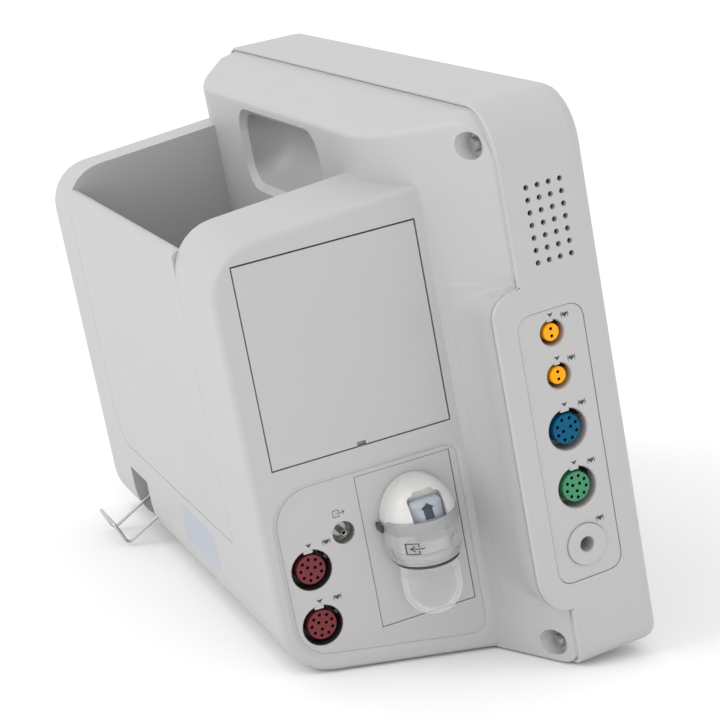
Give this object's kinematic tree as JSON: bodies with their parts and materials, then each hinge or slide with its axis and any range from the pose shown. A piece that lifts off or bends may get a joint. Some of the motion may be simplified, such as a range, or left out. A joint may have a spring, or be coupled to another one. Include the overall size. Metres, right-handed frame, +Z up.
{
  "type": "patient monitor",
  "caption": "Bedside patient monitor leaning back on a flat base: flared rear case with an open accessory bin, battery door, side sockets, clear water trap and wire cord bail.",
  "frame": {"origin": "middle of the mounting plate's underside, on the table", "axes": "+Z up; -Y to the front of the screen; +X to the right of a person who faces the screen; the patient sockets are on the -X side"},
  "size_m": [0.3992, 0.2234, 0.2777],
  "materials": {
    "case_plastic": "fine matt texture",
    "dark_plastic": "matt",
    "grey_plastic": "matt",
    "clear_plastic": "clear, polished",
    "latch_plastic": "satin",
    "orange_plastic": "satin",
    "blue_plastic": "satin",
    "green_plastic": "satin",
    "maroon_plastic": "satin",
    "amber_lens": "frosted",
    "screen_glass": "polished, dark behind",
    "steel": "bright drawn",
    "aluminium": "as rolled",
    "board": "solder mask",
    "rubber": "matt"
  },
  "bodies": {
    "monitor": {"front_bezel": "case_plastic", "touch_glass": "screen_glass", "lcd_panel": "aluminium", "alarm_lamp": "amber_lens", "key_board": "board", "chassis_plate": "aluminium", "main_board": "board", "port_panel": "case_plastic", "t1_shell": "dark_plastic", "t1_core": "orange_plastic", "t2_shell": "dark_plastic", "t2_core": "orange_plastic", "spo2_shell": "dark_plastic", "spo2_core": "blue_plastic", "ecg_shell": "dark_plastic", "ecg_core": "green_plastic", "nibp_socket": "case_plastic", "parameter_board": "board", "speaker": "dark_plastic", "rear_case": "case_plastic", "rear_panel": "case_plastic", "door_hinge_pin": "steel", "battery_cradle": "grey_plastic", "battery_pack": "dark_plastic", "module_fascia": "case_plastic", "co2_plate": "case_plastic", "trap_dock": "case_plastic", "gas_outlet_cup": "dark_plastic", "gas_outlet_nipple": "steel", "ibp1_shell": "dark_plastic", "ibp1_core": "maroon_plastic", "ibp2_shell": "dark_plastic", "ibp2_core": "maroon_plastic", "co2_module": "aluminium", "power_supply": "aluminium", "nibp_pump": "grey_plastic", "ac_inlet": "dark_plastic", "mount_plate": "aluminium", "foot_1": "rubber", "foot_2": "rubber", "foot_3": "rubber", "foot_4": "rubber", "case_screw_1": "steel", "case_screw_2": "steel", "case_screw_3": "steel", "case_screw_4": "steel"},
    "battery_door": {"battery_door": "case_plastic"},
    "water_trap": {"trap_cap": "clear_plastic", "trap_seal": "rubber", "trap_cup": "clear_plastic"},
    "trap_latch": {"trap_latch": "latch_plastic"},
    "cord_bail": {"cord_bail": "steel"},
    "power_key": {"power_key": "grey_plastic"},
    "function_key_1": {"function_key_1": "grey_plastic"},
    "function_key_2": {"function_key_2": "grey_plastic"},
    "function_key_3": {"function_key_3": "grey_plastic"},
    "function_key_4": {"function_key_4": "grey_plastic"},
    "rotary_knob": {"rotary_knob": "grey_plastic"}
  },
  "joints": [
    {"name": "battery_door_hinge", "type": "hinge", "parent": "monitor", "child": "battery_door", "pos_m": [-0.1538, 0.04458, 0.19426], "axis": [0, 0.9836, -0.1805], "range_deg": [0, 105]},
    {"name": "water_trap_pull", "type": "slide", "parent": "monitor", "child": "water_trap", "axis": [-1, 0, 0], "range_m": [0, 0.03]},
    {"name": "trap_latch_lift", "type": "slide", "parent": "monitor", "child": "trap_latch", "axis": [0, 0.1805, 0.9836], "range_m": [0, 0.0025], "stiffness_N_per_m": 300, "springref_m": -0.001},
    {"name": "cord_bail_swing", "type": "hinge", "parent": "monitor", "child": "cord_bail", "pos_m": [0.09, 0.05359, 0.02647], "axis": [1, 0, 0], "range_deg": [0, 58]},
    {"name": "power_key_press", "type": "slide", "parent": "monitor", "child": "power_key", "axis": [0, 0.9836, -0.1805], "range_m": [0, 0.0008], "stiffness_N_per_m": 600, "springref_m": -0.0005},
    {"name": "function_key_1_press", "type": "slide", "parent": "monitor", "child": "function_key_1", "axis": [0, 0.9836, -0.1805], "range_m": [0, 0.0008], "stiffness_N_per_m": 600, "springref_m": -0.0005},
    {"name": "function_key_2_press", "type": "slide", "parent": "monitor", "child": "function_key_2", "axis": [0, 0.9836, -0.1805], "range_m": [0, 0.0008], "stiffness_N_per_m": 600, "springref_m": -0.0005},
    {"name": "function_key_3_press", "type": "slide", "parent": "monitor", "child": "function_key_3", "axis": [0, 0.9836, -0.1805], "range_m": [0, 0.0008], "stiffness_N_per_m": 600, "springref_m": -0.0005},
    {"name": "function_key_4_press", "type": "slide", "parent": "monitor", "child": "function_key_4", "axis": [0, 0.9836, -0.1805], "range_m": [0, 0.0008], "stiffness_N_per_m": 600, "springref_m": -0.0005},
    {"name": "rotary_knob_turn", "type": "hinge", "parent": "monitor", "child": "rotary_knob", "pos_m": [0.14, -0.10617, 0.03088], "axis": [0, 0.9836, -0.1805], "continuous": true}
  ]
}
